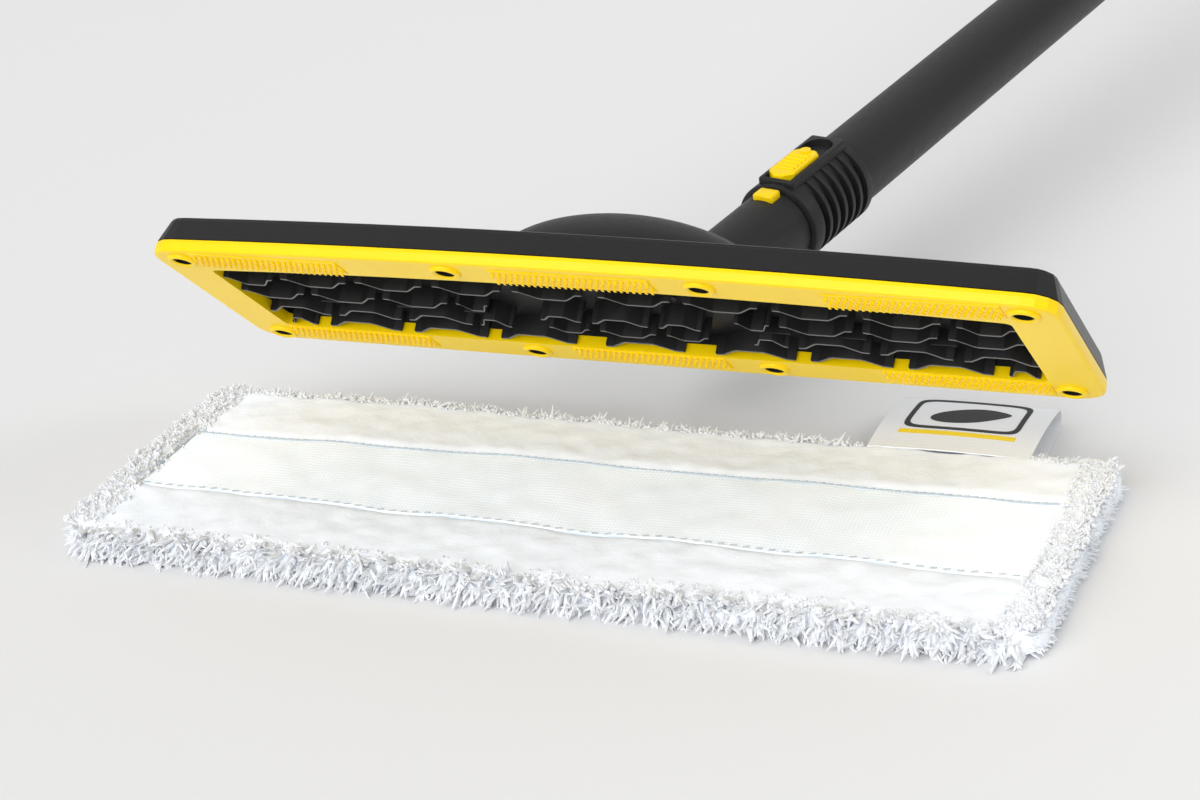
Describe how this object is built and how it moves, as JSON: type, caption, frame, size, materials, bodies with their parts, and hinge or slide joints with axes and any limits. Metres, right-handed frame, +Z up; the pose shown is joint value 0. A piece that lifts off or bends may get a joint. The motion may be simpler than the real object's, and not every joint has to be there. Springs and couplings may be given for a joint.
{
  "type": "steam mop floor head with extension tube and cloth",
  "caption": "Tilting steam floor head with hook fields and lamellae on a swivel neck and latched extension tube, above its separate rectangular cleaning cloth.",
  "frame": {"origin": "centre of the tube's upper shoulder, where the next tube or the handle plugs on", "axes": "+Z up from the floor under the cloth, +X along the head's long side to the right, +Y away from the head along the tube"},
  "size_m": [0.318, 0.7037, 0.107],
  "materials": {
    "black_plastic": "fine grain, satin",
    "yellow_plastic": "glossy moulded",
    "natural_plastic": "uncoloured, smooth",
    "steel": "plain zinc-plated",
    "rubber": "matte",
    "cloth_pile": "white microfibre pile",
    "cloth_mesh": "white woven mesh",
    "label": "smooth woven label"
  },
  "bodies": {
    "tube": {"neck": "black_plastic", "neck_spigot": "black_plastic", "neck_lug": "yellow_plastic", "neck_o_ring": "rubber", "collar": "black_plastic", "latch_spring": "steel", "extension_tube": "black_plastic", "tube_spigot": "black_plastic", "spigot_lug": "yellow_plastic", "spigot_o_ring": "rubber", "socket_seal": "rubber", "steam_pipe": "natural_plastic"},
    "latch": {"latch_slider": "yellow_plastic"},
    "yoke": {"yoke": "black_plastic", "swivel_pin": "steel", "swivel_washer": "steel", "swivel_cap": "black_plastic", "swivel_o_ring_1": "rubber", "swivel_o_ring_2": "rubber"},
    "head": {"sole_frame": "yellow_plastic", "sole_screw_1": "steel", "sole_screw_2": "steel", "sole_screw_3": "steel", "sole_screw_4": "steel", "sole_screw_5": "steel", "sole_screw_6": "steel", "sole_screw_7": "steel", "sole_screw_8": "steel", "lamella_insert": "black_plastic", "chamber_gasket": "rubber", "steam_chamber": "black_plastic", "chamber_screw_1": "steel", "chamber_screw_2": "steel", "chamber_screw_3": "steel", "chamber_screw_4": "steel", "top_shell": "black_plastic", "joint_dome": "black_plastic", "pitch_pin": "steel", "pitch_clip": "steel", "pitch_washer_left": "rubber", "pitch_washer_right": "rubber"},
    "cloth": {"cloth_pad": "cloth_pile", "cloth_panel": "cloth_mesh", "foot_tab": "label"}
  },
  "joints": [
    {"name": "latch_slide", "type": "slide", "parent": "tube", "child": "latch", "axis": [0.2215, 0.971, 0.0901], "range_m": [0, 0.0045], "stiffness_N_per_m": 300, "springref_m": -0.003},
    {"name": "neck_swivel", "type": "hinge", "parent": "tube", "child": "yoke", "pos_m": [-0.12291, -0.5387, -0.04997], "axis": [0, 0.0924, -0.9957], "range_deg": [-42.2, 67.8]},
    {"name": "head_pitch", "type": "hinge", "parent": "yoke", "child": "head", "pos_m": [-0.12291, -0.57409, -0.03548], "axis": [1, 0, 0], "range_deg": [-42.7, 15.3]},
    {"name": "cloth_peel", "type": "hinge", "parent": "head", "child": "cloth", "pos_m": [-0.12291, -0.54678, -0.08429], "axis": [-1, 0, 0], "range_deg": [0, 42]}
  ]
}
